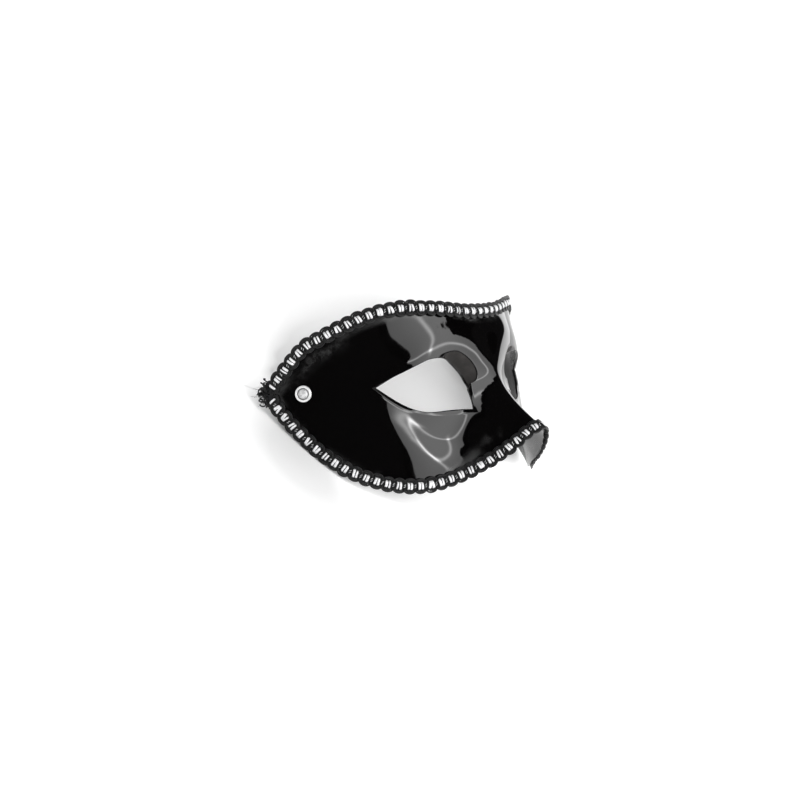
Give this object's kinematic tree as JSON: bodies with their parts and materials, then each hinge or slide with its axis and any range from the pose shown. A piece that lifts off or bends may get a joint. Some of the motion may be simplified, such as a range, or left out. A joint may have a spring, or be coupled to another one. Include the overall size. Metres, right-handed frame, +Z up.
{
  "type": "half mask",
  "caption": "Glossy black half mask for the eyes and nose, edged with black and silver gimp braid, with a domed rivet at each temple.",
  "frame": {"origin": "middle of the footprint of the mask's bounding box, on the surface that the mask lies on", "axes": "+Z up off that surface, +X to the wearer's left, +Y towards the open back, so that the face looks to -Y and up"},
  "size_m": [0.1563, 0.0812, 0.0679],
  "materials": {
    "shell": "high gloss, smooth",
    "braid": "looped cord with silver thread bars",
    "rivet": "bright rolled rim, dull dome"
  },
  "bodies": {
    "root": {"mask_shell": "shell", "braid_trim": "braid", "rivet_right": "rivet", "rivet_left": "rivet"}
  },
  "joints": []
}
